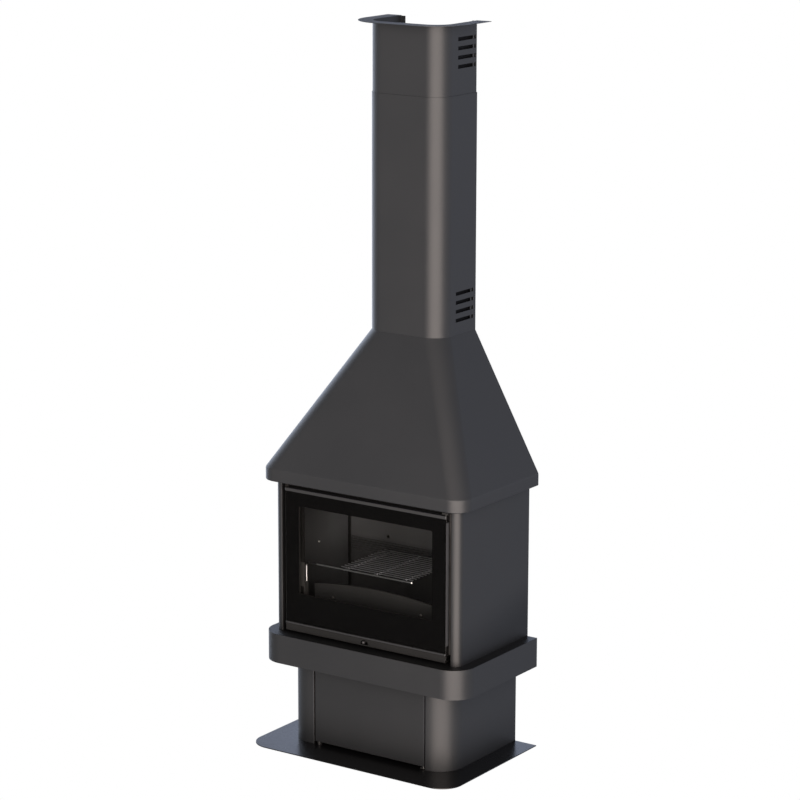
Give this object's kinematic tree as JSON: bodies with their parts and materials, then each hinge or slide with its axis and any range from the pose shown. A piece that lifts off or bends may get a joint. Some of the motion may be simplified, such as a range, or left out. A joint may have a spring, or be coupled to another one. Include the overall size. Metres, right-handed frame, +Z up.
{
  "type": "wood fireplace",
  "caption": "Freestanding wood fireplace with a wood store, a deep hearth shelf, a glazed fire chamber with a cooking grill, a tapered hood and a telescopic flue cover.",
  "frame": {"origin": "middle of the underside of the floor plate's bounding box", "axes": "+Z up, front towards -Y, wall side towards +Y, +X to the right seen from the front"},
  "size_m": [0.808, 0.531, 2.4],
  "materials": {
    "painted_steel": "satin black",
    "shelf_steel": "satin black",
    "floor_steel": "satin black",
    "inner_steel": "matte black",
    "firebox_steel": "matte black",
    "lining": "matte",
    "hearth": "matte",
    "retainer_iron": "satin",
    "bright_steel": "satin",
    "grill_steel": "satin",
    "dark_steel": "satin",
    "ash_steel": "satin",
    "door_glass": "gloss",
    "door_black": "matte",
    "rope": "matte",
    "magnet": "satin"
  },
  "bodies": {
    "hearth": {"floor_plate": "floor_steel", "store_casing": "painted_steel", "store_back": "inner_steel", "support_legs": "inner_steel", "store_hinge_pins": "bright_steel", "store_hinge_bracket": "dark_steel", "store_magnet": "magnet", "hearth_shelf": "shelf_steel", "shelf_deck": "inner_steel", "shelf_bearers": "inner_steel", "firebox_casing": "painted_steel", "casing_back": "inner_steel", "firebox_body": "firebox_steel", "lower_rail": "dark_steel", "upper_hinge_bracket": "dark_steel", "side_lining_left": "lining", "side_lining_right": "lining", "back_lining": "lining", "lining_screws": "dark_steel", "baffle_plate": "lining", "baffle_ledges": "firebox_steel", "hearth_tiles": "hearth", "ash_well": "firebox_steel", "log_retainer": "retainer_iron", "retainer_feet": "retainer_iron", "retainer_bolts": "dark_steel", "grill_socket": "dark_steel", "air_guide": "dark_steel", "door_hinge_pins": "bright_steel", "door_catch": "bright_steel", "smoke_dome": "firebox_steel", "flue_collar": "firebox_steel", "hood": "painted_steel", "hood_brackets": "inner_steel", "lower_cover": "painted_steel", "cover_joiner": "inner_steel", "vent_shields_low": "inner_steel"},
    "firebox_door": {"door_frame": "painted_steel", "door_glass": "door_glass", "door_inner_frame": "door_black", "door_gasket": "rope", "catch_tongue": "dark_steel"},
    "wood_door": {"store_door": "painted_steel", "store_door_glide": "bright_steel"},
    "air_control": {"air_knob": "bright_steel", "air_valve": "dark_steel"},
    "telescope": {"upper_cover": "painted_steel", "ceiling_flange": "painted_steel", "vent_shields_top": "inner_steel"},
    "grill": {"grill_arm": "bright_steel", "grill_grate": "grill_steel"},
    "grate": {"ember_grate": "hearth"},
    "pan": {"ash_pan": "ash_steel"}
  },
  "joints": [
    {"name": "firebox_door_hinge", "type": "hinge", "parent": "hearth", "child": "firebox_door", "pos_m": [0.311, -0.147, 0.644], "axis": [0, 0, 1], "range_deg": [0, 100]},
    {"name": "wood_door_hinge", "type": "hinge", "parent": "hearth", "child": "wood_door", "pos_m": [0.22405, -0.14, 0.14], "axis": [0, 0, 1], "range_deg": [0, 95]},
    {"name": "air_control_slide", "type": "slide", "parent": "hearth", "child": "air_control", "axis": [0, -1, 0], "range_m": [0, 0.03]},
    {"name": "telescope_slide", "type": "slide", "parent": "hearth", "child": "telescope", "axis": [0, 0, 1], "range_m": [-0.1, 0.2]},
    {"name": "grill_lift", "type": "slide", "parent": "hearth", "child": "grill", "axis": [0, 0, 1], "range_m": [0, 0.045]},
    {"name": "grate_lift", "type": "slide", "parent": "hearth", "child": "grate", "axis": [0, 0, 1], "range_m": [0, 0.06]},
    {"name": "ash_pan_lift", "type": "slide", "parent": "hearth", "child": "pan", "axis": [0, 0, 1], "range_m": [0, 0.012]}
  ]
}
